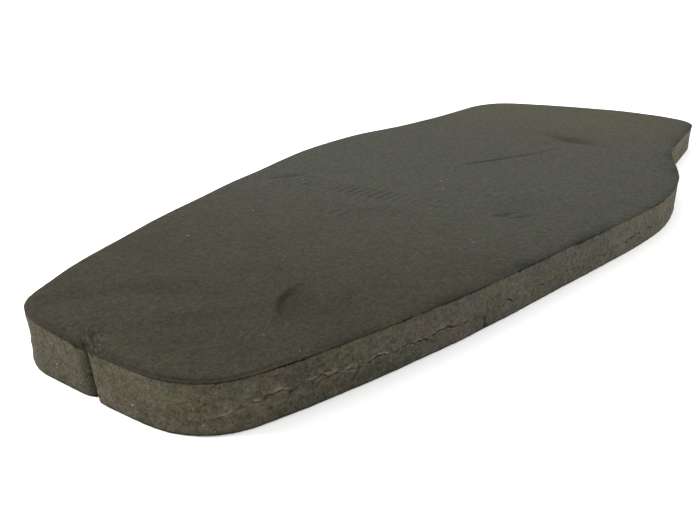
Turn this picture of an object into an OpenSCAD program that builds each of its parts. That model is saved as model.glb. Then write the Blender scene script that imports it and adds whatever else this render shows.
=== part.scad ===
// Soft back protector: a long, tapering foam pad that slides into the back pocket of a riding jacket.
// Two foam plies are glued face to face. A thin closed skin covers each outer face, and a short slit
// in the narrow end lets its two corners flex apart.
// Frame: +Y runs from the slit end to the square end, +X runs across the pad, and +Z points away
// from the wearer. The origin is the middle of the face that lies against the wearer. Millimetres.

/* [Pad] */
// Length from the slit end to the square end
pad_l = 420; // [400:1:440]
// Width at the widest station
pad_w = 185; // [178:1:186]
// Distance of the widest station from the slit end
pad_w_at = 224; // [215:1:225]
// Radius of the outline at the widest station
pad_w_r = 165; // [150:1:170]

/* [Slit end] */
// Width of the end, across its rounded corners
slit_end_w = 92; // [91:1:96]
// Radius of the two corners beside the slit
slit_end_r = 26; // [20:1:28]
// Distance between the flanks where they lean out towards the widest station
flank_w = 119; // [117:0.5:120.5]
// Distance of that place from the slit end
flank_at = 62; // [60:1:66]
// Angle at which the flanks lean out there
flank_lean = 16.2; // [15.6:0.1:17]
// Radius of the gentle bow in each flank
flank_r = 400; // [300:10:450]

/* [Slit] */
// Width of the slit at its mouth
slit_w = 2.4; // [1:0.1:5]
// Length of the slit, from the end of the pad to its closed tip
slit_l = 6.5; // [5:0.5:20]
// Width of the slit at its closed tip
slit_tip_w = 0.4; // [0.2:0.1:0.8]
// Radius that takes the edge off each side of the mouth
slit_edge_r = 1.5; // [1:0.5:4]

/* [Square end] */
// Width of the waisted stretch between the widest station and the square end
neck_w = 151; // [150:1:155]
// Distance of the narrowest point of the waist from the slit end
neck_at = 328; // [327:1:340]
// Radius of the hollow at the waist
neck_r = 152; // [130:1:155]
// Width of the end, across its rounded corners
square_end_w = 147; // [140:1:150]
// Radius of the two corners of the end
square_end_r = 30; // [25:1:34]
// How far the corners stay short of the middle of the end
square_end_drop = 4; // [3:0.5:6]
// Radius of the shallow crown of the end
square_crown_r = 190; // [160:1:210]

/* [Plies] */
// Thickness of the closed skin on the face away from the wearer
outer_skin_t = 1; // [0.5:0.1:2]
// Thickness of the thick foam ply
outer_foam_t = 7.1; // [5:0.1:10]
// Thickness of the glue between the two foam plies
bond_film_t = 0.3; // [0.1:0.1:0.6]
// Thickness of the thin foam ply
inner_foam_t = 6.1; // [4:0.1:9]
// Thickness of the closed skin on the wearer's side
inner_skin_t = 0.5; // [0.3:0.1:1]

/* [Edges] */
// How far the edge of the outer foam ply stays inside the outer skin
outer_foam_inset = 0.5; // [0:0.1:1]
// How far the edge of the glue stays inside the outer skin
bond_film_inset = 0.9; // [0:0.1:1.5]
// How far the edge of the inner foam ply stays inside the outer skin
inner_foam_inset = 0.7; // [0:0.1:1.5]
// How far the edge of the inner skin stays inside the outer skin
inner_skin_inset = 1; // [0:0.1:1.5]

/* [Hidden] */

// Largest gap allowed between an arc and the straight pieces that stand for it
arc_gap = 0.04;
// Largest angle of one straight piece of an arc
arc_step_max = 15;

// Height of the underside of each ply
inner_skin_z = 0;
inner_foam_z = inner_skin_z + inner_skin_t;
bond_film_z = inner_foam_z + inner_foam_t;
outer_foam_z = bond_film_z + bond_film_t;
outer_skin_z = outer_foam_z + outer_foam_t;

// The right half of the outline, from the tip of the slit round to the middle of the square end.
// Each entry is a circle that the edge wraps round, [x, y, radius], with y counted from the slit
// end. A negative radius is a hollow, which the edge wraps round from the other side.
half_outline = [
    [0, slit_l, -slit_tip_w / 2],
    [slit_w / 2 + slit_edge_r, slit_edge_r, slit_edge_r],
    [slit_end_w / 2 - slit_end_r, slit_end_r, slit_end_r],
    round_at(flank_w / 2, flank_at, -flank_lean, flank_r),
    round_at(pad_w / 2, pad_w_at, 0, pad_w_r),
    round_at(neck_w / 2, neck_at, 0, -neck_r),
    [square_end_w / 2 - square_end_r, pad_l - square_end_drop - square_end_r, square_end_r],
    [0, pad_l - square_crown_r, square_crown_r],
];

// Circle of radius r whose edge passes through the point [x, y] and faces angle there
function round_at(x, y, angle, r) = [x - r * cos(angle), y - r * sin(angle), r];

// Brings an angle into the range from -180 to 180
function wrapped(angle) = angle - 360 * round(angle / 360);

// Direction in which the straight edge between circles a and b faces. Where one circle lies just
// inside the other, the edge passes straight from one to the other at their closest points
function edge_angle(a, b) =
    let (
        step = [b.x - a.x, b.y - a.y],
        narrowing = (a.z - b.z) / norm(step)
    )
    wrapped(atan2(step.y, step.x) - acos(max(-1, min(1, narrowing))));

// Directions in which the half outline faces where it meets and leaves each circle. It starts in
// the tip of the slit, facing the mouth, and ends facing straight away from the square end
facing = [
    -90,
    for (i = [1 : len(half_outline) - 1]) edge_angle(half_outline[i - 1], half_outline[i]),
    90,
];

// Points on a circle of radius r round [c.x, c.y], from facing angle first to facing angle last
function arc(c, r, first, last) =
    let (
        finest = 2 * acos(1 - min(1, arc_gap / abs(r))),
        pieces = ceil(abs(last - first) / min(finest, arc_step_max))
    )
    [for (i = [0 : pieces])
        let (angle = first + (last - first) * i / pieces)
        [c.x + r * cos(angle), c.y + r * sin(angle) - pad_l / 2]];

// The whole outline with its edge moved in by inset, round the middle of the pad
function outline(inset) =
    let (
        right = [for (i = [0 : len(half_outline) - 1])
            let (c = half_outline[i])
            each arc(c, c.z - inset, facing[i], facing[i + 1])],
        last = len(right) - 1
    )
    concat(right, [for (i = [last - 1 : -1 : 1]) [-right[i].x, right[i].y]]);

// One flat ply of the laminate
module ply(z, thickness, inset) {
    translate([0, 0, z])
        linear_extrude(height = thickness)
            polygon(outline(inset));
}

// The closed, dark skin on the face away from the wearer
module outer_skin() {
    color([0.33, 0.33, 0.30])
        ply(outer_skin_z, outer_skin_t, 0);
}

// The thick foam ply under the outer skin
module outer_foam() {
    color([0.33, 0.31, 0.26])
        ply(outer_foam_z, outer_foam_t, outer_foam_inset);
}

// The glue between the two foam plies
module bond_film() {
    color([0.20, 0.19, 0.17])
        ply(bond_film_z, bond_film_t, bond_film_inset);
}

// The thin foam ply on the wearer's side
module inner_foam() {
    color([0.32, 0.30, 0.25])
        ply(inner_foam_z, inner_foam_t, inner_foam_inset);
}

// The closed skin that lies against the wearer
module inner_skin() {
    color([0.28, 0.28, 0.26])
        ply(inner_skin_z, inner_skin_t, inner_skin_inset);
}

outer_skin();
outer_foam();
bond_film();
inner_foam();
inner_skin();
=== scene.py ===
"""Looks of a soft foam back protector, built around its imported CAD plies.

Every ply of the laminate is replaced by a finely meshed piece of the same height, whose outline strays a
little like a hand-cut one: a rolled skin over the cut foam, the ragged glue line, and the foam and skin
on the wearer's side. Lengths are in millimetres until a mesh is made, which turns them into metres.
"""

import math

import bpy
import numpy as np
from mathutils import Matrix, Vector, kdtree
from mathutils.geometry import delaunay_2d_cdt


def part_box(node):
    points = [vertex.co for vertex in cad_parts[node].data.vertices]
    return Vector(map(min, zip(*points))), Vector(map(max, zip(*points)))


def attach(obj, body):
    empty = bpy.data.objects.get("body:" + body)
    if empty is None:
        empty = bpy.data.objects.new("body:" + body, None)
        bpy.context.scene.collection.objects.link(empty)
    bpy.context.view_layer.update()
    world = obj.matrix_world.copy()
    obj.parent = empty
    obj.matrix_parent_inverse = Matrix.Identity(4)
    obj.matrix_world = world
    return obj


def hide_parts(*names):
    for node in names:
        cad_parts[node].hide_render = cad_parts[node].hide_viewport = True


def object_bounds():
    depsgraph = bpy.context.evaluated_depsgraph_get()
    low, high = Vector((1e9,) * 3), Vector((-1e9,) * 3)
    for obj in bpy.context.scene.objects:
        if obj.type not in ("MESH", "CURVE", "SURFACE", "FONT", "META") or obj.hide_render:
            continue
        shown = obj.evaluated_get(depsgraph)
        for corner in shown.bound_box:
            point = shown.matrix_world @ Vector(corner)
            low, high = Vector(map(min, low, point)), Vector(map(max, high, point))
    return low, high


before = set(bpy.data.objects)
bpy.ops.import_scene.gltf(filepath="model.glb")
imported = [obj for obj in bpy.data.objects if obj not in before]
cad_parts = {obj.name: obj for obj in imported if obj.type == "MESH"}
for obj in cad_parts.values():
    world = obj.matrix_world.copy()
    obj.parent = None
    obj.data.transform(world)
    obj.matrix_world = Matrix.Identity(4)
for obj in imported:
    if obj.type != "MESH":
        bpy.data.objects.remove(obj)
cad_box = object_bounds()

MM = 0.001

# ---------------------------------------------------------------- sizes read from the frame


def node_box(node):
    """Lowest and highest corner of a CAD ply, in millimetres."""
    low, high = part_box(node)
    return np.array(low) / MM, np.array(high) / MM


SKIN_TOP = node_box("outer_skin")[1][2]
FOAM_TOP = node_box("outer_foam")[1][2]
FILM_TOP = node_box("bond_film")[1][2]
FILM_LOW = node_box("bond_film")[0][2]
INNER_LOW = node_box("inner_foam")[0][2]
LOW_CORNER, HIGH_CORNER = node_box("outer_skin")
PAD_L = HIGH_CORNER[1] - LOW_CORNER[1]
SLIT_END = LOW_CORNER[1]
HALF_MOUTH = 1.2              # half the width of the CAD slit at its mouth

# ---------------------------------------------------------------- noise

PRIMES = np.array([73856093, 19349663, 83492791])


def hashed(cells, seed):
    """A repeatable number from -1 to 1 for each whole-numbered cell."""
    key = (cells @ PRIMES[: cells.shape[1]] + seed * 7919).astype(np.uint64)
    key = (key ^ (key >> np.uint64(13))) * np.uint64(0x9E3779B97F4A7C15)
    key = (key ^ (key >> np.uint64(29))) * np.uint64(0xBF58476D1CE4E5B9)
    return (key >> np.uint64(40)).astype(float) / (1 << 23) - 1


def noise(points, width, seed):
    """Smooth noise from -1 to 1 at each point, with lumps about width across."""
    scaled = points / width
    low = np.floor(scaled).astype(np.int64)
    part = scaled - low
    part = part * part * (3 - 2 * part)
    total = np.zeros(len(points))
    for corner in np.ndindex(*(2,) * points.shape[1]):
        share = np.prod(np.where(corner, part, 1 - part), axis=1)
        total += share * hashed(low + corner, seed)
    return total


def smooth_step(value, start, end):
    """0 before start and 1 after end, with a smooth rise between them."""
    t = np.clip((value - start) / (end - start), 0, 1)
    return t * t * (3 - 2 * t)


def bump(xy, x, y, half_length, half_width, angle):
    """A smooth mound of height 1 with a long side, at each plan point."""
    turn = math.radians(angle)
    along = (xy[:, 0] - x) * math.cos(turn) + (xy[:, 1] - y) * math.sin(turn)
    across = (xy[:, 1] - y) * math.cos(turn) - (xy[:, 0] - x) * math.sin(turn)
    return np.exp(-(along / half_length) ** 2 - (across / half_width) ** 2)


# ---------------------------------------------------------------- the outline of the pad

FINE_STEP, COARSE_STEP = 0.16, 0.48   # spacing of outline points in the slit and far from it
STEP_GROWTH = 0.03                    # extra spacing for each millimetre away from the slit
WALK_STEP = 0.05                      # step of the first, even walk round the CAD outline
ROUNDING_PASSES = 8                   # smooths the short straight pieces of the CAD arcs
TIP_IN_MIN = 5                        # the slit's closed tip is at least this far from the end
WANDER = ((0.16, 55, 1), (0.07, 13, 2))   # height, width and seed of the hand-cut edge's waves
# Places where the hand-cut edge strays from the pattern: x, y, how far round it, how far outwards
STRAYS = (
    (-25, -210, 16, -0.7),
    (-44, -196, 11, -1.75),
    (-51, -174, 16, 0.8),
    (-67, -120, 30, 1.0),
    (-77, -78, 20, 1.2),
    (-92, 11, 37, -2.1),
    (-76, 103, 26, 2.0),
    (-73, 165, 22, 0.7),
    (-64, 199, 9, 1.2),
    (-30, 208, 30, 0.6),
    (20, 209, 22, 1.9),
    (57, 203, 17, -2.3),
    (9, -210, 12, 0.5),
    (45, -194, 7, -0.4),
    (59, -148, 14, -0.35),
    (70, -106, 16, 0.3),
    (92, -10, 16, -0.5),
)


def cad_outline(node):
    """The edge of a CAD ply's upper face, counter-clockwise, starting in the tip of the slit."""
    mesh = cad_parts[node].data
    mesh.calc_loop_triangles()
    corners = np.array([v.co for v in mesh.vertices]) / MM
    triangles = np.array([t.vertices for t in mesh.loop_triangles])
    on_top = np.all(corners[triangles][:, :, 2] > corners[:, 2].max() - 0.01, axis=1)
    places, welded = np.unique(corners.round(3), axis=0, return_inverse=True)
    welded = welded.reshape(-1)
    follows = {}
    for a, b, c in welded[triangles[on_top]]:
        follows.update({(a, b): True, (b, c): True, (c, a): True})
    after = {a: b for a, b in follows if (b, a) not in follows}
    # Of the points beyond the mouth, the tip is the first one on the pad's middle line
    beyond_mouth = [i for i in after if places[i, 1] > SLIT_END + TIP_IN_MIN]
    tip = min(beyond_mouth, key=lambda i: 10 * abs(places[i, 0]) + places[i, 1])
    loop = [tip]
    while after[loop[-1]] != tip:
        loop.append(after[loop[-1]])
    return places[loop, :2]


def distance_to_slit(xy, tip):
    """Distance of each point from the line of the slit, which runs in from the end of the pad."""
    along = np.clip(xy[:, 1], SLIT_END, tip[1])
    return np.hypot(xy[:, 0] - tip[0], xy[:, 1] - along)


def make_outline():
    """The pad's edge as a loop of points, with the way it faces and its distance from the slit."""
    loop = cad_outline("outer_skin")
    tip = loop[0]
    closed = np.vstack([loop, loop[:1]])
    length = np.concatenate([[0], np.cumsum(np.hypot(*np.diff(closed, axis=0).T))])
    walk = np.arange(0, length[-1], WALK_STEP)
    xy = np.stack([np.interp(walk, length, closed[:, axis]) for axis in (0, 1)], axis=1)
    spacing = np.clip(FINE_STEP + STEP_GROWTH * distance_to_slit(xy, tip), FINE_STEP, COARSE_STEP)
    counted = np.cumsum(WALK_STEP / spacing)
    count = int(counted[-1])
    picks = np.interp(np.arange(count) * counted[-1] / count, counted, walk)
    xy = np.stack([np.interp(picks, length, closed[:, axis]) for axis in (0, 1)], axis=1)
    for _ in range(ROUNDING_PASSES):
        xy = (np.roll(xy, 1, axis=0) + 2 * xy + np.roll(xy, -1, axis=0)) / 4
    tangent = np.roll(xy, -1, axis=0) - np.roll(xy, 1, axis=0)
    tangent /= np.hypot(*tangent.T)[:, None]
    normal = np.stack([tangent[:, 1], -tangent[:, 0]], axis=1)
    to_slit = distance_to_slit(xy, tip)
    free = smooth_step(to_slit, 3, 12)
    outward = sum(height * free * noise(xy, width, seed) for height, width, seed in WANDER)
    outward += sum(far * bump(xy, x, y, reach, reach, 0) for x, y, reach, far in STRAYS)
    xy = xy + normal * outward[:, None]
    return {"xy": xy, "normal": normal, "to_slit": to_slit, "tip": tip}


edge = make_outline()
around = edge["xy"]
EDGE_COUNT = len(around)
edge_tree = kdtree.KDTree(EDGE_COUNT)
for number, (x, y) in enumerate(around):
    edge_tree.insert((x, y, 0), number)
edge_tree.balance()


def depth_inside(xy):
    """How far each plan point lies inside the outline. It is negative outside."""
    depths = np.empty(len(xy))
    for i, (x, y) in enumerate(xy):
        _, nearest, gap = edge_tree.find((x, y, 0))
        inward = (around[nearest] - (x, y)) @ edge["normal"][nearest]
        depths[i] = gap if inward > 0 else -gap
    return depths


# ---------------------------------------------------------------- relief of the outer face

ROLL_IN, ROLL_DROP, ROLL_POWER = 3.2, 0.30, 2.4   # the skin rolls down towards its cut edge

# Long hollows: middle x, y, half length, half width, angle of the long side in degrees, depth.
# A negative depth is a swell
HOLLOWS = (
    (24, 97, 17, 5.5, -22, 1.4),
    (22, 90, 20, 7, 55, 0.4),
    (0, 215, 70, 40, 0, -0.45),
    (-66, -112, 75, 18, 104, -0.3),
    (-26, -190, 13, 4.5, 55, 0.5),
    (-8, -174, 15, 4.5, 25, 0.45),
    (10, -186, 15, 5, 50, 0.5),
    (17, -194, 9, 3.5, 30, 0.45),
    (38, -160, 10, 7, 75, 0.45),
    (44, -42, 15, 8, 80, 0.5),
    (2, -78, 20, 6, 10, 0.35),
    (-62, -54.5, 9, 2.4, 62, 0.7),
    (-53, -50, 7, 2.2, -12, 0.5),
    (45, -54.2, 4.5, 1.5, 65, 0.85),
    (52, -52.6, 4.5, 1.4, 60, 0.65),
    (28.5, -158, 7, 5, 40, 0.2),
)
# Crescent-shaped dent: points along its steep side, and how deep it is at each of them
CRESCENT = ((32, -173, 0.0), (30.5, -171.6, 0.3), (26.8, -168.3, 0.75), (23.6, -165.1, 1.05),
            (21.2, -161.2, 1.2), (19.8, -156.5, 1.15), (19.3, -151.5, 0.6), (20.0, -147.5, 0.0))
CRESCENT_STEEP, CRESCENT_FADE = 1.3, 7.5   # widths of its steep side and of the hollow beside it
# Long thin fold: points along it, and how deep it is at each of them
CREASE = ((-3, 11, 0.2), (0, 16, 0.8), (7, 31, 0.8), (15, 47, 0.6), (26, 74, 0.3), (30, 84, 0.0))
CREASE_WIDTH = 1.1
# Rows of plain ribs pressed into the skin: first x, y, count, pitch, length, lean along x, depth,
# half width, share of the way along the row where they are deepest, seed
RIB_ROWS = (
    (-66, -57.5, 23, 3.9, 10, 0.2, 0.5, 0.95, 0.56, 59),
    (-58, -87, 16, 4.6, 6, 0.2, 0.35, 0.95, 0.75, 12),
)


def beside(xy, start, end):
    """For each plan point: how far along a line it lies, and how far to the right of it."""
    start, step = np.array(start, float), np.subtract(end, start)
    t = np.clip((xy - start) @ step / (step @ step), 0, 1)
    away = xy - start - t[:, None] * step
    return t, np.hypot(*away.T) * np.sign(step[1] * away[:, 0] - step[0] * away[:, 1])


def groove(xy, start, end, width):
    """A groove of depth 1 between two plan points."""
    return np.exp(-((beside(xy, start, end)[1] / width) ** 2))


def crease(xy):
    """The long thin fold that runs towards the square end."""
    total = np.zeros(len(xy))
    for (x, y, first), (next_x, next_y, last) in zip(CREASE, CREASE[1:]):
        t, gap = beside(xy, (x, y), (next_x, next_y))
        deep = first + (last - first) * t
        total = np.maximum(total, deep * np.exp(-((gap / CREASE_WIDTH) ** 2)))
    return total


def crescent(xy):
    """The crescent-shaped dent: a steep curved side that drops away to a hollow on its right."""
    nearest = np.full(len(xy), np.inf)
    depth = np.zeros(len(xy))
    for (x, y, first), (next_x, next_y, last) in zip(CRESCENT, CRESCENT[1:]):
        t, gap = beside(xy, (x, y), (next_x, next_y))
        closer = np.abs(gap) < nearest
        nearest[closer] = np.abs(gap[closer])
        drop = smooth_step(gap, -CRESCENT_STEEP / 2, CRESCENT_STEEP / 2)
        drop *= np.exp(-(np.clip(gap, 0, None) / CRESCENT_FADE) ** 1.5)
        depth[closer] = ((first + (last - first) * t) * drop)[closer]
    return depth


def ribs(xy):
    """Rows of short pressed ribs, some of them nearly worn away."""
    total = np.zeros(len(xy))
    for x, y, count, pitch, length, lean, depth, width, deepest, seed in RIB_ROWS:
        for i in range(count):
            middle = np.array([[x + i * pitch, y]])
            kept = np.clip(0.55 + 0.75 * noise(middle, 9, seed)[0], 0.1, 1)
            kept *= 0.3 + 0.7 * math.exp(-(((i + 0.5) / count - deepest) / 0.2) ** 2)
            half = np.array([lean, length]) / 2
            near = np.abs(xy - middle).max(axis=1) < length
            total[near] += depth * kept * groove(xy[near], middle[0] - half, middle[0] + half, width)
    return total


def hollows(xy):
    """Depth of all the hollows, folds and dents at each plan point."""
    depth = crescent(xy) + crease(xy)
    for x, y, half_length, half_width, angle, deepest in HOLLOWS:
        depth += deepest * bump(xy, x, y, half_length, half_width, angle)
    return depth


def relief(xy):
    """Height of the outer face above its flat level at each plan point."""
    # The skin also swells and sinks gently everywhere, in lumps of three sizes
    swell = 0.22 * noise(xy, 70, 21) + 0.10 * noise(xy, 24, 22) + 0.035 * noise(xy, 7, 23)
    return swell - hollows(xy) - ribs(xy)


# ---------------------------------------------------------------- the slit

SLIT_X, SLIT_LEAN = 0.9, -1.1      # where the slit opens half-way up, and its lean over its height
SLIT_SKEW, SKEW_IN = 0.8, 9         # sideways drift for each millimetre it goes in, up to a depth
SHUT_LOW, SHUT_HIGH = 0.6, 0.85     # share of the gap that is pressed shut at the bottom and top
# Dips of the skin beside the mouth: x, y from the end, half length, half width, angle, depth, side
DIPS = (
    (-7, 1.5, 9, 3.6, 5, 0.75, -1),
    (-2.2, 2.0, 3.6, 2.8, 25, 1.2, -1),
    (3.6, 0.6, 3.2, 1.8, 0, 0.35, 1),
)
# Corners of the mouth: x, y from the end, how far each is moved along x and y, how widely, and how
# many times as far at the bottom
CORNERS = (
    (1.6, 0.45, -0.42, -0.42, 1.1, 0.6),
    (-1.2, 0.2, 0.25, 1.5, 2.3, 1.0),
)
# Places where one lobe's cut wall leans: x, y from the end, half length, half width, and how much
# farther the top lies than the bottom along x and y
LEANS = (
    (-27, 2, 15, 12, 0, 1.4),
    (-12, 1, 10, 12, 0, 0.4),
    (-41, 8, 12, 14, -2.1, -1.0),
)


def shape_slit(points):
    """Skews, leans and closes the slit, presses in the skin round its mouth, and leans one lobe."""
    xy = points[:, :2]
    up = np.clip(points[:, 2] / SKIN_TOP, 0, 1)
    gap = distance_to_slit(xy, edge["tip"])
    inward = np.clip(xy[:, 1] - SLIT_END, 0, None)
    tip_in = edge["tip"][1] - SLIT_END
    near = 1 - smooth_step(gap, 2, 14)
    drift = SLIT_SKEW * np.minimum(inward, SKEW_IN)
    drift = drift * (1 - smooth_step(inward, tip_in + 1, tip_in + 15))
    half_gap = HALF_MOUTH * (1 - 0.8 * np.clip(inward / tip_in, 0, 1))
    shut = SHUT_LOW + (SHUT_HIGH - SHUT_LOW) * up ** 1.5
    shut = np.sign(xy[:, 0]) * half_gap * shut * (1 - smooth_step(gap, 1.5, 9)) * (inward < tip_in)
    moved = points.copy()
    moved[:, 0] += (SLIT_X + SLIT_LEAN * (up - 0.5) - drift) * near - shut
    beyond = smooth_step(inward, tip_in - 1, tip_in + 1)
    torn = 1 + 0.3 * noise(xy, 1.1, 31)
    for x, y, half_length, half_width, angle, depth, side in DIPS:
        own_side = smooth_step(side * xy[:, 0], -0.3 - 3 * beyond, 0.3 + beyond)
        dip = bump(xy, x, SLIT_END + y, half_length, half_width, angle)
        moved[:, 2] -= depth * own_side * torn * up ** 2 * dip
    for x, y, move_x, move_y, width, lower in CORNERS:
        share = (lower + (1 - lower) * up) * bump(xy, x, SLIT_END + y, width, width, 0)
        moved[:, 0] += move_x * share
        moved[:, 1] += move_y * share
    for x, y, half_length, half_width, lean_x, lean_y in LEANS:
        share = (up - 0.5) * bump(xy, x, SLIT_END + y, half_length, half_width, 0)
        moved[:, 0] += lean_x * share
        moved[:, 1] += lean_y * share
    crumbs = np.clip(noise(xy, 0.9, 32), 0, 1) * (1 - smooth_step(gap, 2, 6))
    moved[:, 2] += 0.25 * crumbs * smooth_step(points[:, 2], SKIN_TOP - 1, SKIN_TOP - 0.5)
    return moved


# ---------------------------------------------------------------- walls of the plies

RING_IN = 3.0            # how far inside the edge a ply's flat faces begin
MOUTH_LIMIT = 1.05       # the same beside the slit, whose mouth has small corners
GRAIN = ((0.12, 0.95, 41), (0.12, 1.9, 42), (0.10, 4.5, 43))   # height, width and seed
# Height, width and seed of the waves of the glue line
BOND_WAVES = ((0.3, 21, 51), (0.4, 6, 52), (0.5, 2.4, 53), (0.55, 1.2, 54), (0.3, 0.7, 60))
# Where the glue line runs high or low: x, y, how far round it, how much higher
BOND_RISES = ((36, -204, 7, -2.0), (45, -189, 17, 1.4), (78, -70, 65, -1.7), (-60, 120, 60, -0.8))
NICK_AT = (66.7, -119.3)     # a short cut up from the lower edge
NICK_HEIGHT, NICK_WIDTH = 4.5, 0.33

ring = MOUTH_LIMIT + (RING_IN - MOUTH_LIMIT) * smooth_step(edge["to_slit"], 4, 14)
bond_height = (FILM_TOP + FILM_LOW) / 2 + sum(
    height * noise(around, width, seed) for height, width, seed in BOND_WAVES)
bond_height += sum(rise * bump(around, x, y, reach, reach, 0) for x, y, reach, rise in BOND_RISES)
on_right = smooth_step(around[:, 0], 5, 40)
# The glue line gapes and frays along the flanks. It is closed across the slit end, farther round the
# left corner than the right one, and nearly closed at one place on the right corner
from_end = around[:, 1] + 0.3 * around[:, 0]
bond_open = smooth_step(from_end, SLIT_END + 12, SLIT_END + 22)
bond_open = bond_open * np.clip(0.45 + 1.0 * noise(around, 9, 55) + 1.1 * noise(around, 1.9, 56), 0, 1)
bond_open = bond_open * (1 - 0.8 * bump(around, 48, -183, 9, 9, 0))
# Torn threads and pits crowd beside the glue line, mostly round the right corner of the slit end. The
# pits are painted as dark spots of shade
torn_corner = bump(around, 42, -185, 50, 22, 65)
threads_near = smooth_step(from_end, SLIT_END + 8, SLIT_END + 20)
threads_near = threads_near * (0.3 + 0.7 * torn_corner)
# Round that corner a pale torn thread hangs over the glue line. Elsewhere it is a thin crack, painted
# dark with its shade
frayed = 0.15 + 0.85 * torn_corner
frayed = frayed * np.clip(0.8 + 0.9 * noise(around, 1.3, 59), 0.1, 1.4)
crack = bond_open * np.clip(0.95 - 0.6 * frayed, 0, 1)
# The cut under the skin's lip gapes in places along the flanks, and is shut across the slit end. Where it
# gapes, the rows beside it are painted dark with its shade
lip_gaps = 0.16 + 0.12 * on_right + 0.7 * noise(around, 11, 57) + 0.5 * noise(around, 2.7, 58)
lip_open = smooth_step(around[:, 1], SLIT_END + 1, SLIT_END + 24)
lip_open = 0.05 + lip_open * np.clip(lip_gaps, 0, 0.9)
# A second, finer fold in the skin follows the rim round the right corner, with painted shade along it
rim_fold = bump(around, 38, SLIT_END + 8, 26, 15, 25)
RIM_SHADE_IN = 4.2       # how far inside the edge the rim's own shade ends


def rim_shade(xy, depth):
    """How dark the skin is some depth inside the edge: darkest along one flank and at the slit."""
    flank = smooth_step(xy[:, 0], 20, 60) * smooth_step(xy[:, 1], -195, -140)
    patchy = np.clip(0.6 + 0.8 * noise(xy, 17, 71) + 0.4 * noise(xy, 5, 72), 0.15, 1.2)
    beside_slit = bump(xy, -8, SLIT_END + 2, 15, 7, 0)
    right_lobe = bump(xy, 27, SLIT_END + 4, 22, 9, 12)
    rim = 0.10 + 0.40 * flank * patchy + 0.5 * beside_slit + 0.32 * right_lobe
    rim = rim * np.clip(1 - depth / RIM_SHADE_IN, 0, 1) ** 1.2
    narrow_band = 0.30 * patchy * np.exp(-((depth / 8) ** 2))
    wide_band = 0.12 * np.exp(-((depth / 30) ** 2))
    return rim + flank * (narrow_band + wide_band)


def wall_shade(xy):
    """How dark the cut wall is: darkest inside the slit, then round the right corner."""
    slit_side = 0.42 * bump(xy, -2.2, SLIT_END + 1, 6, 2.6, 90)
    slit_side += 0.52 * bump(xy, -1.2, SLIT_END + 2, 6, 1.5, 90)
    left_lobe = 0.07 * bump(xy, -27, SLIT_END + 3, 20, 12, 0)
    right_corner = 0.22 * bump(xy, 51, SLIT_END + 30, 30, 20, 65)
    return slit_side * (xy[:, 0] < 0) + left_lobe + right_corner


def dust_cover(points):
    """How thickly pale dust sits on the cut wall: mostly low on the two lobes."""
    lobes = bump(points, 28, SLIT_END + 1, 14, 10, 0) + 0.5 * bump(points, -16, SLIT_END, 9, 8, 0)
    return 0.06 + lobes * np.exp(-(((points[:, 2] - 4) / 6) ** 2))


def wall_inset(z):
    """How far the cut foam lies inside the outline: it is a little hollow half-way up."""
    return 0.12 + 0.2 * np.sin(np.pi * np.clip(z / SKIN_TOP, 0, 1))


def rolled(inset):
    """Height of the outer skin that far inside its edge."""
    return SKIN_TOP - ROLL_DROP * np.clip(1 - inset / ROLL_IN, 0, 1) ** ROLL_POWER


def row(inset, z, rough=0.0, light=0.0, dark=0.0):
    """One line of points round a ply: its inset, its height, how much grain it has, and its tint."""
    values = (inset, z, rough, light, dark)
    return [np.broadcast_to(np.asarray(value, float), EDGE_COUNT) for value in values]


def foam_rows(low, high, count):
    """Rows of the open foam wall between two heights."""
    return [row(wall_inset(low + (high - low) * t), low + (high - low) * t, 1.0)
            for t in np.linspace(0, 1, count)]


def outer_skin_rows():
    """The skin from its underside, round its thin cut lip, to where its rolled top begins."""
    under = FOAM_TOP
    lip = 0.08 * noise(around, 2.2, 61) + 0.06 * noise(around, 0.9, 62)
    ragged = 0.07 * noise(around, 4.0, 66) + 0.05 * noise(around, 1.3, 67)
    fold = 0.3 * rim_fold
    crumbs = np.clip(4 * noise(around, 0.4, 68) - 1.8, 0, 1) * bump(around, -4, SLIT_END, 4, 3, 0)
    # Painted shade: black on the underside by the edge, dark under the lip where the cut gapes, and the
    # rim's shade and the fold's shade on the rolled top
    return [
        row(ring, under),
        row(1.0, under + 0.02, 0, 0, 1),
        row(0.62, under + 0.16, 0.05, 0, 1),
        row(0.28 + lip, under + 0.33 + 0.12 * lip_open + ragged, 0.2, 0, 0.1 + 0.6 * lip_open),
        row(0.08 + lip, under + 0.40 + 0.10 * lip_open + ragged, 0.2, crumbs, 0.05 + 0.5 * lip_open),
        row(lip, under + 0.55 + ragged / 2, 0.2, crumbs, 0.05 + rim_shade(around, 0) + 0.2 * lip_open),
        row(0.12 + lip / 2, rolled(0.12) - 0.04, 0.15, crumbs / 2, rim_shade(around, 0.12)),
        row(0.32, rolled(0.32) - 0.01, 0.1, 0, rim_shade(around, 0.3)),
        row(0.6, rolled(0.6), 0, 0, rim_shade(around, 0.6)),
        row(0.85, rolled(0.85) - fold * 0.6, 0, 0, rim_shade(around, 0.85) + 0.2 * rim_fold),
        row(1.05, rolled(1.05) - fold, 0, 0, rim_shade(around, 1.05) + 0.5 * rim_fold),
    ]


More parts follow.
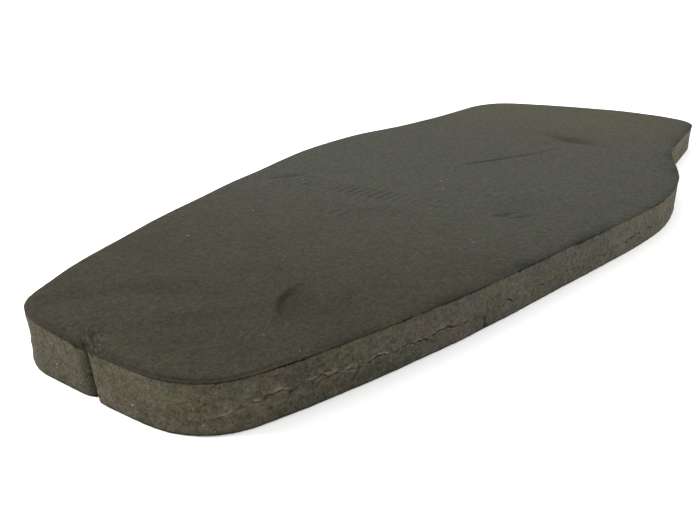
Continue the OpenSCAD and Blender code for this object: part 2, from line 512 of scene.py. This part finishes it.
def outer_foam_rows():
    """The thick ply, from the ragged lip over the glue line up to the cut under the skin."""
    pits = np.clip(noise(around, 1.7, 63) - 0.3, 0, 1) * 1.5 * lip_open
    shoulder = FOAM_TOP + 0.30 - 0.20 * lip_open - 0.04 * (1 + noise(around, 5, 64)) - pits * 0.7
    lip = bond_height + 0.1 + 0.15 * bond_open
    top = shoulder - 0.55
    # Painted shade: black on the faces hidden under the skin and on the glue, and dark in the crack and
    # in the cut under the skin's lip
    return [
        row(ring, FILM_TOP),
        row(1.05, (FILM_TOP + lip) / 2, 0, 0, 1),
        row(wall_inset(lip) + 0.35 * crack, lip - 0.04, 0.5, 0, crack),
        row(wall_inset(lip) - 0.28 * bond_open * frayed, lip + 0.04, 1, 1.1 * bond_open * frayed),
        row(wall_inset(lip) - 0.30 * bond_open * frayed, lip + 0.26, 1, 0.8 * bond_open * frayed),
        row(wall_inset(lip) - 0.10 * bond_open * frayed, lip + 0.65, 1, 0.2 * bond_open * frayed),
        *foam_rows(lip + 1.0, top, 15),
        row(wall_inset(top), shoulder - 0.25, 0.9, 0, 0.05 + 0.2 * lip_open),
        row(0.12 + 0.1 * lip_open + 0.3 * pits, shoulder, 0.5, 0, 0.05 + 0.5 * lip_open),
        row(0.28 + 0.1 * lip_open + 0.3 * pits, shoulder + 0.03, 0.3, 0, 0.1 + 0.8 * lip_open),
        row(0.66, FOAM_TOP + 0.02, 0.1, 0, 1),
        row(0.9, FOAM_TOP - 0.03, 0, 0, 1),
        row(1.04, FOAM_TOP, 0, 0, 1),
        row(ring, FOAM_TOP),
    ]


def bond_film_rows():
    """The thin layer of glue, set back where the plies have come apart, and painted dark there with the
    crack's shade.
    """
    half = (FILM_TOP - FILM_LOW) / 2
    back = wall_inset(bond_height) + crack * (0.3 + 0.12 * noise(around, 2.6, 65))
    return [
        row(ring, FILM_LOW),
        row(np.minimum(back + 0.3, 1.04), bond_height - half, 0, 0, crack),
        row(back + 0.02, bond_height - half * 0.8, 0.4, 0, crack),
        row(back, bond_height, 0.6, 0.3 * bond_open, crack),
        row(back + 0.02, bond_height + half * 0.8, 0.4, 0, crack),
        row(np.minimum(back + 0.3, 1.04), bond_height + half, 0, 0, crack),
        row(ring, FILM_TOP),
    ]


def inner_foam_rows():
    """The thin ply, from its rounded lower edge up to the glue line."""
    lip = bond_height - 0.1 - 0.12 * bond_open
    low = INNER_LOW + 1.2
    nick = 1.3 * bump(around, *NICK_AT, NICK_WIDTH, NICK_WIDTH, 0)
    # Painted shade: along the rounded lower edge where it meets the skin, in the crack under the glue
    # line, and on the face hidden beside the glue
    rows = [
        row(ring, INNER_LOW),
        row(0.62, INNER_LOW, 0, 0, 0.4),
        row(0.40, INNER_LOW + 0.04, 0.3, 0, 0.2),
        row(0.22, INNER_LOW + 0.18, 0.6, 0, 0.1),
        row(wall_inset(low) + 0.02, INNER_LOW + 0.45, 1, 0, 0.1),
        row(wall_inset(low) + 0.02, INNER_LOW + 0.8, 1),
        *foam_rows(low, lip - 0.9, 10),
        row(wall_inset(lip) - 0.05 * bond_open, lip - 0.6, 1),
        row(wall_inset(lip) + 0.05 * bond_open, lip - 0.3, 1, 0.25 * bond_open),
        row(wall_inset(lip) + 0.28 * crack, lip - 0.08, 0.8, 0, 0.6 * crack),
        row(1.04, (FILM_LOW + lip) / 2, 0, 0, 1),
        row(ring, FILM_LOW),
    ]
    # The nick is cut into the rows and painted dark with its shade
    for values in rows[2:-2]:
        cut = nick * (1 - smooth_step(values[1], NICK_HEIGHT - 0.8, NICK_HEIGHT))
        values[0] = values[0] + cut
        values[4] = np.clip(values[4] + cut, 0, 1)
    return rows


def inner_skin_rows():
    """The skin on the wearer's side, whose edge is pressed round under the pad."""
    # The edge is a little darker all round, with painted shade where its upper face meets the foam ply
    return [
        row(1.3, 0.0, 0, 0, 0.1),
        row(0.85, 0.02, 0.1, 0, 0.1),
        row(0.56, 0.08, 0.2, 0, 0.1),
        row(0.36, 0.20, 0.3, 0, 0.1),
        row(0.28, 0.36, 0.3, 0, 0.1),
        row(0.5, INNER_LOW, 0, 0, 0.3),
        row(ring, INNER_LOW),
    ]


# ---------------------------------------------------------------- meshes

RIM_DEPTHS = (1.5, 2.1, 2.9, 3.9)   # rows of points that carry the rolled edge inwards
RIM_STEP = 2                         # every second outline point has one of them beside it
RIM_FROM_SLIT = 9                    # how far from the slit these rows begin
SLIT_SPACING, SLIT_MARGIN = 0.33, 1.3   # the mesh round the slit is the finest and nears the edge most
ROW_STEP = 0.866                     # height of a triangle with even sides of 1
# Places that get a finer mesh: low x, low y, high x, high y, spacing
FINE_ZONES = (
    (-12, SLIT_END, 12, SLIT_END + 15, SLIT_SPACING),
    (14, -180, 46, -142, 0.7),
    (-67, -66, 24, -50, 0.62),
    (-60, -92, 20, -82, 0.75),
    (38, -64, 63, -43, 0.7),
    (-6, 8, 33, 86, 0.8),
)


def grid(low_x, low_y, high_x, high_y, spacing):
    """Points of a grid of even-sided triangles over a rectangle."""
    points = []
    for j, y in enumerate(np.arange(low_y, high_y, spacing * ROW_STEP)):
        xs = np.arange(low_x + (j % 2) * spacing / 2, high_x, spacing)
        points.append(np.stack([xs, np.full(len(xs), y)], axis=1))
    return np.vstack(points)


def inner_points(spacing, margin, zones=(), rims=()):
    """Plan points that fill the inside of the pad, closer together in the zones and along the rims."""
    base = grid(*LOW_CORNER[:2], *HIGH_CORNER[:2], spacing)
    for low_x, low_y, high_x, high_y, _ in zones:
        x, y = base.T
        inside = (x > low_x) & (x < high_x) & (y > low_y) & (y < high_y)
        base = base[~inside]
    parts = [base[depth_inside(base) > margin]]
    for zone in zones:
        fine = grid(*zone)
        near_edge = SLIT_MARGIN if zone[-1] == SLIT_SPACING else margin
        parts.append(fine[depth_inside(fine) > near_edge])
    for depth in rims:
        line = (around - edge["normal"] * depth)[::RIM_STEP]
        # Where the outline is hollow, some points of a row would lie too near another stretch of it
        clear = depth_inside(line) > depth * 0.97
        parts.append(line[clear & (edge["to_slit"][::RIM_STEP] > RIM_FROM_SLIT)])
    return np.vstack(parts)


def fill(loop, inside):
    """Triangles between a closed loop of plan points and the points inside it, as point numbers."""
    points = [Vector(p) for p in np.vstack([loop, inside])]
    count = len(loop)
    sides = [(i, (i + 1) % count) for i in range(count)]
    _, _, faces, sources, _, _ = delaunay_2d_cdt(points, sides, [], 1, 1e-6)
    if any(len(source) == 0 for source in sources):
        raise ValueError("a face's loop crosses itself")
    return [[sources[i][0] for i in face] for face in faces]


def wall_points(rows):
    """The points of a ply's wall rows, roughened like cut foam, with their light and dark tints."""
    inset, z, rough, light, dark = (np.concatenate(values) for values in zip(*rows))
    row_count = len(rows)
    normals = np.tile(edge["normal"], (row_count, 1))
    inset = np.minimum(inset, np.tile(ring, row_count))
    xy = np.tile(around, (row_count, 1)) - normals * inset[:, None]
    wall = np.column_stack([xy, z])
    corner = bump(xy, 50, SLIT_END + 28, 50, 28, 65)

    # Shade, then long faint streaks that are stronger round the right corner
    dark = np.where(z < SKIN_TOP - 1, np.maximum(dark, wall_shade(xy)), dark)
    streaks = 1.8 * noise(wall * (1, 1, 4), 2.6, 44) * (0.35 + 0.65 * corner)
    streaks = streaks * smooth_step(z, 14, 13) * (rough > 0.9)
    light = light + 0.40 * np.clip(streaks - 0.6, 0, 1)
    dark = dark + 0.35 * np.clip(-streaks - 0.6, 0, 1)

    # Pale torn threads beside the glue line, and painted shade for the pits between them
    from_bond = z - np.tile(bond_height, row_count)
    near_bond = np.exp(-((from_bond / 1.2) ** 2)) * np.tile(threads_near, row_count) * (rough > 0.4)
    threads = 2.8 * noise(wall * (1, 1, 1.8), 1.2, 45)
    light = light + 0.7 * np.clip(threads - 0.5, 0, 1) * near_bond
    dark = dark + 0.55 * np.clip(-threads - 0.5, 0, 1) * near_bond

    # The grain is coarser low on the right corner
    coarse = 1 + 0.8 * corner * smooth_step(z, 8, 4)
    shift = sum(height * noise(wall, width, seed) for height, width, seed in GRAIN) * rough * coarse
    wall[:, :2] += normals * shift[:, None]
    return wall, np.stack([light, dark], axis=1)


def top_tints(xy, depth):
    """Light and dark tints of the outer face: crumbs at the slit, painted shade at the rim, in the
    hollows and in the pressed ribs, and a broad patch that is darker beside the crescent dent.
    """
    light = np.clip(2 * noise(xy, 0.6, 69) - 0.9, 0, 0.2) * bump(xy, 1, SLIT_END + 2.5, 7, 4, 0)
    dark = rim_shade(xy, depth) + 0.4 * np.clip(hollows(xy), 0, 1)
    dark += 0.55 * np.clip(ribs(xy), 0, 1) + 0.1 * bump(xy, 34, -166, 34, 22, 65)
    return np.stack([light, dark], axis=1)


def build(name, node, rows, material, upper, lower, upper_height=None):
    """One ply as a closed mesh: its wall rows, then its lower and upper faces."""
    wall, wall_tints = wall_points(rows)
    faces = []
    for r in range(len(rows) - 1):
        a = r * EDGE_COUNT + np.arange(EDGE_COUNT)
        b = r * EDGE_COUNT + (np.arange(EDGE_COUNT) + 1) % EDGE_COUNT
        faces.extend(np.stack([a, b, b + EDGE_COUNT, a + EDGE_COUNT], axis=1).tolist())
    points = [wall]
    tints = [wall_tints]
    total = len(wall)
    # The lower face grows from the first row and faces down, the upper face from the last row
    for start, inside, flip in ((0, lower, True), (len(wall) - EDGE_COUNT, upper, False)):
        loop = wall[start:start + EDGE_COUNT]
        level = np.full(len(inside), rows[0 if flip else -1][1].mean())
        tint = np.zeros((len(inside), 2))
        if not flip and upper_height is not None:
            depth = depth_inside(inside)
            level = upper_height(depth)
            tint = top_tints(inside, depth)
        number = np.concatenate([start + np.arange(EDGE_COUNT), total + np.arange(len(inside))])
        for face in fill(loop[:, :2], inside):
            corners = [int(number[i]) for i in face]
            faces.append(corners[::-1] if flip else corners)
        points.append(np.column_stack([inside, level]))
        tints.append(tint)
        total += len(inside)
    points = np.vstack(points)
    tints = np.vstack(tints)
    dust = dust_cover(points)
    up = smooth_step(points[:, 2], FILM_TOP, FOAM_TOP)
    points[:, 2] += relief(points[:, :2]) * up
    points = shape_slit(points)
    mesh = bpy.data.meshes.new(name)
    mesh.from_pydata((points * MM).tolist(), [], faces)
    for key, values in (("light", tints[:, 0]), ("dark", tints[:, 1]), ("dust", dust)):
        attribute = mesh.attributes.new(key, "FLOAT", "POINT")
        attribute.data.foreach_set("value", values.astype(np.float32))
    mesh.polygons.foreach_set("use_smooth", [True] * len(mesh.polygons))
    mesh.materials.append(material)
    mesh.validate()
    piece = bpy.data.objects.new(name, mesh)
    bpy.context.scene.collection.objects.link(piece)
    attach(piece, "root")
    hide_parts(node)


# ---------------------------------------------------------------- materials


class Graph:
    """A small helper that adds and links the nodes of one material."""

    def __init__(self, name):
        self.material = bpy.data.materials.new(name)
        self.material.use_nodes = True
        self.tree = self.material.node_tree
        self.shader = self.tree.nodes["Principled BSDF"]
        place = self.tree.nodes.new("ShaderNodeTexCoord").outputs["Object"]
        in_millimetres = self.tree.nodes.new("ShaderNodeVectorMath")
        in_millimetres.operation = "SCALE"
        self.set(in_millimetres.inputs[0], place)
        self.set(in_millimetres.inputs["Scale"], 1 / MM)
        self.place = in_millimetres.outputs[0]

    def set(self, socket, value):
        """Links a socket, or sets its value."""
        if isinstance(value, bpy.types.NodeSocket):
            self.tree.links.new(value, socket)
        else:
            socket.default_value = value

    def math(self, operation, first, second):
        """Adds, multiplies or compares two values."""
        node = self.tree.nodes.new("ShaderNodeMath")
        node.operation = operation
        self.set(node.inputs[0], first)
        self.set(node.inputs[1], second)
        return node.outputs[0]

    def noise(self, width, detail=2.0, rough=0.5, shift=0.0):
        """Noise from 0 to 1 with lumps about width millimetres across."""
        node = self.tree.nodes.new("ShaderNodeTexNoise")
        node.noise_dimensions = "4D"
        self.set(node.inputs["Vector"], self.place)
        self.set(node.inputs["W"], shift)
        self.set(node.inputs["Scale"], 1 / width)
        self.set(node.inputs["Detail"], detail)
        self.set(node.inputs["Roughness"], rough)
        return node.outputs["Fac"]

    def cells(self, width, shift=0.0):
        """Distance from the nearest cell's middle, in cell widths, and a random number of that cell."""
        node = self.tree.nodes.new("ShaderNodeTexVoronoi")
        node.voronoi_dimensions = "4D"
        self.set(node.inputs["Vector"], self.place)
        self.set(node.inputs["W"], shift)
        self.set(node.inputs["Scale"], 1 / width)
        split = self.tree.nodes.new("ShaderNodeSeparateColor")
        self.set(split.inputs[0], node.outputs["Color"])
        return node.outputs["Distance"], split.outputs[0]

    def ramp(self, value, low, high, out_low=0.0, out_high=1.0, smooth=False):
        """Maps a value from low..high to out_low..out_high, and holds it there."""
        node = self.tree.nodes.new("ShaderNodeMapRange")
        if smooth:
            node.interpolation_type = "SMOOTHSTEP"
        for socket, number in zip(node.inputs, (value, low, high, out_low, out_high)):
            self.set(socket, number)
        return node.outputs[0]

    def mix(self, share, first, second, blend="MIX"):
        """Mixes two colours."""
        node = self.tree.nodes.new("ShaderNodeMix")
        node.data_type = "RGBA"
        node.blend_type = blend
        self.set(node.inputs[0], share)
        self.set(node.inputs[6], first)
        self.set(node.inputs[7], second)
        return node.outputs[2]

    def attribute(self, name):
        """A value that the mesh itself carries at each point."""
        node = self.tree.nodes.new("ShaderNodeAttribute")
        node.attribute_name = name
        return node.outputs["Fac"]

    def along(self):
        """Distance in millimetres from the middle of the pad towards the square end."""
        node = self.tree.nodes.new("ShaderNodeSeparateXYZ")
        self.set(node.inputs[0], self.place)
        return node.outputs[1]

    def shade(self, colour, height, distance, strength, roughness):
        """Connects the finished colour, surface height and roughness."""
        node = self.tree.nodes.new("ShaderNodeBump")
        self.set(node.inputs["Height"], height)
        self.set(node.inputs["Distance"], distance)
        self.set(node.inputs["Strength"], strength)
        self.set(self.shader.inputs["Normal"], node.outputs[0])
        self.set(self.shader.inputs["Base Color"], colour)
        self.set(self.shader.inputs["Roughness"], roughness)
        self.set(self.shader.inputs["Specular IOR Level"], 0.1)
        return self.material


def grey(value):
    """A neutral colour."""
    return (value, value, value, 1)


# A colour's hue drifts between itself times the first and itself times the second of these
MAUVE_TINGE, OLIVE_TINGE = (1.04, 0.985, 1.07, 1), (0.97, 1.01, 0.92, 1)
SKIN_SPECK, SKIN_PALE = (0.24, 0.23, 0.19, 1), (0.34, 0.32, 0.27, 1)
FOAM_FAR, FOAM_PALE = (0.066, 0.059, 0.039, 1), (0.15, 0.135, 0.10, 1)
DULL_SPECK, BRIGHT_SPECK = (0.10, 0.085, 0.04, 1), (0.30, 0.27, 0.21, 1)
CRUMB = (0.36, 0.34, 0.27, 1)


def tinted(graph, colour, darkest, pale):
    """Varies a colour's hue a little, and applies a mesh's own light and dark tints."""
    drift = graph.ramp(graph.noise(7, detail=2, rough=0.6, shift=14), 0.35, 0.65)
    colour = graph.mix(1, colour, graph.mix(drift, MAUVE_TINGE, OLIVE_TINGE), "MULTIPLY")
    # The dark tint is mostly painted shade: at the rim, in the slit, the hollows, ribs, folds and cracks,
    # and on faces hidden between the plies
    shade = graph.ramp(graph.attribute("dark"), 0, 1, 1, darkest)
    colour = graph.mix(1, colour, shade, "MULTIPLY")
    return graph.mix(graph.math("MULTIPLY", graph.attribute("light"), 0.55), colour, pale)


def skin_material(name, near, middle, far):
    """Closed foam skin: matt, finely grained, scuffed darker near the slit, with pale specks of dust."""
    g = Graph(name)
    colour = g.mix(g.ramp(g.along(), SLIT_END + 30, SLIT_END + 170, smooth=True), near, middle)
    colour = g.mix(g.ramp(g.along(), 60, 180, smooth=True), colour, far)

    towards_slit = g.ramp(g.along(), SLIT_END + 110, SLIT_END + 30, 0.3, 1)
    blotch = g.noise(17, detail=4, rough=0.62, shift=7)
    small_blotch = g.math("MULTIPLY", g.noise(5, detail=3, rough=0.6, shift=8), 0.3)
    stain = g.ramp(g.math("ADD", blotch, small_blotch), 0.72, 0.48, smooth=True)
    stain = g.math("MULTIPLY", stain, towards_slit)
    colour = g.mix(g.math("MULTIPLY", stain, 0.38), colour, g.mix(0.5, near, grey(0.008)))

    _, grain = g.cells(0.62, shift=6)
    grain = g.math("ADD", g.math("MULTIPLY", grain, 0.55), g.noise(1.3, detail=2, rough=0.8))
    colour = g.mix(1, colour, g.ramp(grain, 0.3, 1.25, 0.5, 1.5), "MULTIPLY")

    speck_gap, speck_pick = g.cells(1.6, shift=2)
    speck = g.math("MULTIPLY", g.ramp(speck_gap, 0.26, 0.12), g.ramp(speck_pick, 0.982, 0.99))
    colour = g.mix(speck, colour, SKIN_SPECK)
    colour = tinted(g, colour, 0.30, SKIN_PALE)

    dimple_gap, _ = g.cells(1.3, shift=5)
    grain_height = g.noise(0.8, detail=3, rough=0.65, shift=4)
    height = g.math("ADD", grain_height, g.math("MULTIPLY", dimple_gap, 0.4))
    roughness = g.ramp(g.noise(2.5), 0.3, 0.7, 0.74, 0.92)
    return g.shade(colour, height, 0.22 * MM, 0.6, roughness)


def foam_material(name, cool, warm):
    """Cut foam: mottled and grainy, with dark pores, and pale specks and crumbs where dust sits."""
    g = Graph(name)
    towards_slit = g.ramp(g.along(), SLIT_END + 75, SLIT_END + 5)
    mottle = g.math("ADD", g.noise(11, detail=3, rough=0.6), g.math("MULTIPLY", towards_slit, 0.22))
    colour = g.mix(g.ramp(mottle, 0.42, 0.72, smooth=True), cool, warm)
    colour = g.mix(g.ramp(g.along(), -70, 30, smooth=True), colour, FOAM_FAR)
    patch = g.ramp(g.noise(14, detail=3, rough=0.6, shift=6), 0.35, 0.65, 0.85, 1.12)
    colour = g.mix(1, colour, patch, "MULTIPLY")

    _, grain = g.cells(0.5, shift=6)
    grain = g.math("ADD", g.math("MULTIPLY", grain, 0.45), g.noise(1.0, detail=3, rough=0.8))
    colour = g.mix(1, colour, g.ramp(grain, 0.3, 1.15, 0.44, 1.56), "MULTIPLY")
    lumps = g.ramp(g.noise(2.2, detail=2, rough=0.6, shift=15), 0.3, 0.7, 0.79, 1.21)
    colour = g.mix(1, colour, lumps, "MULTIPLY")

    pore_gap, pore_pick = g.cells(1.1, shift=2)
    pore_size = g.ramp(pore_pick, 0.86, 1.0, 0.0, 0.3)
    pore = g.ramp(g.math("SUBTRACT", pore_gap, pore_size), 0.08, 0.0)
    colour = g.mix(g.math("MULTIPLY", pore, 0.6), colour, grey(0.006))

    dust = g.attribute("dust")
    speck_gap, speck_pick = g.cells(0.8, shift=8)
    rare = g.ramp(dust, 0, 1, 0.985, 0.78)
    speck = g.math("MULTIPLY", g.ramp(speck_gap, 0.34, 0.14), g.math("GREATER_THAN", speck_pick, rare))
    speck_colour = g.mix(g.noise(1.4, detail=1, rough=0.5, shift=9), DULL_SPECK, BRIGHT_SPECK)
    colour = g.mix(g.math("MULTIPLY", speck, 0.85), colour, speck_colour)
    crumb_gap, crumb_pick = g.cells(1.15, shift=12)
    picked = g.math("GREATER_THAN", crumb_pick, g.ramp(dust, 0.15, 1, 1, 0.72))
    crumb = g.math("MULTIPLY", g.ramp(crumb_gap, 0.32, 0.12), picked)
    colour = g.mix(g.math("MULTIPLY", crumb, 0.6), colour, CRUMB)
    colour = tinted(g, colour, 0.06, FOAM_PALE)

    grain_height = g.noise(1.1, detail=4, rough=0.75, shift=4)
    height = g.math("ADD", grain_height, g.math("MULTIPLY", pore, -0.9))
    height = g.math("ADD", height, g.math("MULTIPLY", speck, 0.3))
    roughness = g.ramp(g.noise(1.1), 0.3, 0.7, 0.8, 0.98)
    return g.shade(colour, height, 0.4 * MM, 0.8, roughness)


def floor_material():
    """Plain pale floor."""
    g = Graph("floor")
    g.set(g.shader.inputs["Base Color"], grey(0.93))
    g.set(g.shader.inputs["Roughness"], 0.9)
    g.set(g.shader.inputs["Specular IOR Level"], 0.1)
    return g.material


outer_skin_look = skin_material(
    "outer_skin_look",
    near=(0.0245, 0.0222, 0.0132, 1), middle=(0.0302, 0.0304, 0.0222, 1), far=(0.0354, 0.0336, 0.0195, 1))
inner_skin_look = skin_material(
    "inner_skin_look",
    near=(0.036, 0.035, 0.027, 1), middle=(0.038, 0.0375, 0.029, 1), far=(0.040, 0.038, 0.029, 1))
outer_foam_look = foam_material(
    "outer_foam_look", cool=(0.0485, 0.0482, 0.0362, 1), warm=(0.0530, 0.0468, 0.0300, 1))
inner_foam_look = foam_material(
    "inner_foam_look", cool=(0.0470, 0.0468, 0.0350, 1), warm=(0.0515, 0.0455, 0.0292, 1))
bond_look = foam_material(
    "bond_look", cool=(0.050, 0.048, 0.037, 1), warm=(0.060, 0.052, 0.036, 1))

# ---------------------------------------------------------------- the pieces

hidden_face = inner_points(6.0, RING_IN + 2)
outer_face = inner_points(1.6, RIM_DEPTHS[-1] + 0.8, FINE_ZONES, RIM_DEPTHS)
wearer_face = inner_points(3.0, RING_IN + 1)
build("outer_skin_sheet", "outer_skin", outer_skin_rows(), outer_skin_look,
      outer_face, hidden_face, rolled)
build("outer_foam_ply", "outer_foam", outer_foam_rows(), outer_foam_look,
      hidden_face, hidden_face)
build("bond_line", "bond_film", bond_film_rows(), bond_look,
      hidden_face, hidden_face)
build("inner_foam_ply", "inner_foam", inner_foam_rows(), inner_foam_look,
      hidden_face, hidden_face)
build("inner_skin_sheet", "inner_skin", inner_skin_rows(), inner_skin_look,
      hidden_face, wearer_face)

# ---------------------------------------------------------------- stage, light and camera

# From here on, lengths are in metres
CAMERA_AZIMUTH, CAMERA_ELEVATION, CAMERA_ROLL = 34.4, 22.01, -0.41   # degrees
CAMERA_LENS = 35.1       # millimetres, on Blender's 36 mm wide sensor
CAMERA_DISTANCE = 0.616 * PAD_L * MM
CAMERA_AIM = Vector((0.0045, -0.2312, 0)) * PAD_L * MM
FLOOR_HALF = 12.0
SKY_STRENGTH = 1.3


def add_floor():
    """A wide floor, level with the underside of the pad."""
    mesh = bpy.data.meshes.new("floor")
    level = cad_box[0].z
    corners = ((-1, -1), (1, -1), (1, 1), (-1, 1))
    points = [(x * FLOOR_HALF, y * FLOOR_HALF, level) for x, y in corners]
    mesh.from_pydata(points, [], [(0, 1, 2, 3)])
    mesh.materials.append(floor_material())
    floor = bpy.data.objects.new("floor", mesh)
    bpy.context.scene.collection.objects.link(floor)


def add_area_light(name, place, size, watts):
    """A soft square light that faces the middle of the pad."""
    lamp = bpy.data.lights.new(name, "AREA")
    lamp.size = size
    lamp.energy = watts
    light = bpy.data.objects.new(name, lamp)
    light.location = place
    light.rotation_euler = Vector(place).to_track_quat("Z", "Y").to_euler()
    bpy.context.scene.collection.objects.link(light)


def add_sky(strength):
    """An even white light from all round."""
    world = bpy.data.worlds.new("studio")
    world.use_nodes = True
    background = world.node_tree.nodes["Background"]
    background.inputs["Color"].default_value = (1, 1, 1, 1)
    background.inputs["Strength"].default_value = strength
    bpy.context.scene.world = world


def add_camera():
    """The camera, turned round its own line of sight by a small roll."""
    azimuth, elevation = math.radians(CAMERA_AZIMUTH), math.radians(CAMERA_ELEVATION)
    back = Vector((math.sin(azimuth) * math.cos(elevation),
                   -math.cos(azimuth) * math.cos(elevation),
                   math.sin(elevation)))
    lens = bpy.data.cameras.new("camera")
    lens.lens = CAMERA_LENS
    lens.clip_start = 0.01
    camera = bpy.data.objects.new("camera", lens)
    camera.location = CAMERA_AIM + back * CAMERA_DISTANCE
    level = (-back).to_track_quat("-Z", "Y").to_matrix()
    roll = Matrix.Rotation(math.radians(CAMERA_ROLL), 3, "Z")
    camera.rotation_euler = (level @ roll).to_euler()
    bpy.context.scene.collection.objects.link(camera)
    bpy.context.scene.camera = camera


add_floor()
add_sky(SKY_STRENGTH)
add_area_light("key", place=(-1.0, -0.75, 0.8), size=0.5, watts=26)
add_area_light("far_fill", place=(1.1, 1.2, 0.7), size=0.8, watts=14)
add_camera()
bpy.context.scene.view_settings.view_transform = "Standard"
